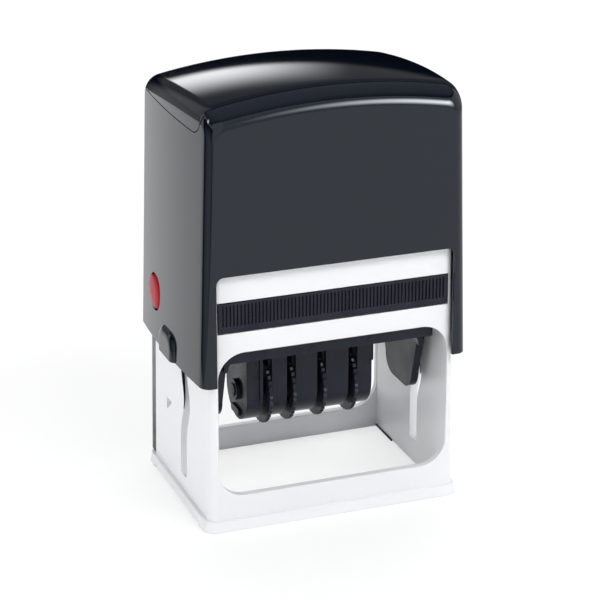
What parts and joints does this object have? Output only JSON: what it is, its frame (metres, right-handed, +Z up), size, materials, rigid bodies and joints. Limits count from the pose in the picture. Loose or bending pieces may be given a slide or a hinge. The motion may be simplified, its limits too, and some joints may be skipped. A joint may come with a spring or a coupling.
{
  "type": "date stamp",
  "caption": "Self-inking date stamp: a cover slides down over a windowed base frame and turns over a die holder with a band dater, under a pull-out ink pad cassette.",
  "frame": {"origin": "middle of the underside of the base frame, on the paper", "axes": "+Z up through the cover, +X along the length to the right, -Y out of the front with the ink pad cassette"},
  "size_m": [0.075, 0.0522, 0.1142],
  "materials": {
    "white_plastic": "glossy moulded white plastic",
    "black_plastic": "high gloss black plastic",
    "clear_plastic": "smoke clear plastic over a black cover, high gloss",
    "dark_plastic": "satin black plastic",
    "red_plastic": "glossy red plastic",
    "steel": "bright drawn wire",
    "die_rubber": "matt rubber",
    "band_rubber": "matt rubber",
    "felt": "inked felt"
  },
  "bodies": {
    "base": {"base_frame": "white_plastic", "return_spring": "steel"},
    "cover": {"cover_shell": "black_plastic", "index_window": "clear_plastic"},
    "button_left": {"lock_button_left": "red_plastic"},
    "button_right": {"lock_button_right": "red_plastic"},
    "cassette": {"ink_pad_tray": "dark_plastic", "ink_pad_felt": "felt"},
    "holder": {"die_holder": "dark_plastic", "text_plate": "dark_plastic", "rubber_die": "die_rubber", "dater_housing": "dark_plastic", "wheel_axle": "steel", "nose_bar": "steel", "date_band_1": "band_rubber", "date_band_2": "band_rubber", "date_band_3": "band_rubber", "date_band_4": "band_rubber", "pivot_pin_left": "steel", "pivot_pin_right": "steel"},
    "wheel_1": {"date_wheel_1": "dark_plastic"},
    "wheel_2": {"date_wheel_2": "dark_plastic"},
    "wheel_3": {"date_wheel_3": "dark_plastic"},
    "wheel_4": {"date_wheel_4": "dark_plastic"}
  },
  "joints": [
    {"name": "press_slide", "type": "slide", "parent": "base", "child": "cover", "axis": [0, 0, -1], "range_m": [0, 0.0358], "stiffness_N_per_m": 250, "springref_m": -0.015, "deforming": ["return_spring"]},
    {"name": "flip", "type": "hinge", "parent": "cover", "child": "holder", "pos_m": [0, -0.0042, 0.0438], "axis": [1, 0, 0], "range_deg": [0, 180]},
    {"name": "cassette_slide", "type": "slide", "parent": "base", "child": "cassette", "axis": [0, -1, 0], "range_m": [0, 0.043]},
    {"name": "lock_left", "type": "slide", "parent": "cover", "child": "button_left", "axis": [1, 0, 0], "range_m": [0, 0.0006], "stiffness_N_per_m": 400, "springref_m": -0.001},
    {"name": "lock_right", "type": "slide", "parent": "cover", "child": "button_right", "axis": [-1, 0, 0], "range_m": [0, 0.0006], "stiffness_N_per_m": 400, "springref_m": -0.001},
    {"name": "wheel_spin_1", "type": "hinge", "parent": "holder", "child": "wheel_1", "pos_m": [-0.01309, -0.0042, 0.0296], "axis": [1, 0, 0], "continuous": true},
    {"name": "wheel_spin_2", "type": "hinge", "parent": "holder", "child": "wheel_2", "pos_m": [-0.00661, -0.0042, 0.0296], "axis": [1, 0, 0], "continuous": true},
    {"name": "wheel_spin_3", "type": "hinge", "parent": "holder", "child": "wheel_3", "pos_m": [0.00169, -0.0042, 0.0296], "axis": [1, 0, 0], "continuous": true},
    {"name": "wheel_spin_4", "type": "hinge", "parent": "holder", "child": "wheel_4", "pos_m": [0.0103, -0.0042, 0.0296], "axis": [1, 0, 0], "continuous": true}
  ],
  "couplings": [
    {"joint": "flip", "follows": "press_slide", "rad_per_m": 87.753}
  ]
}
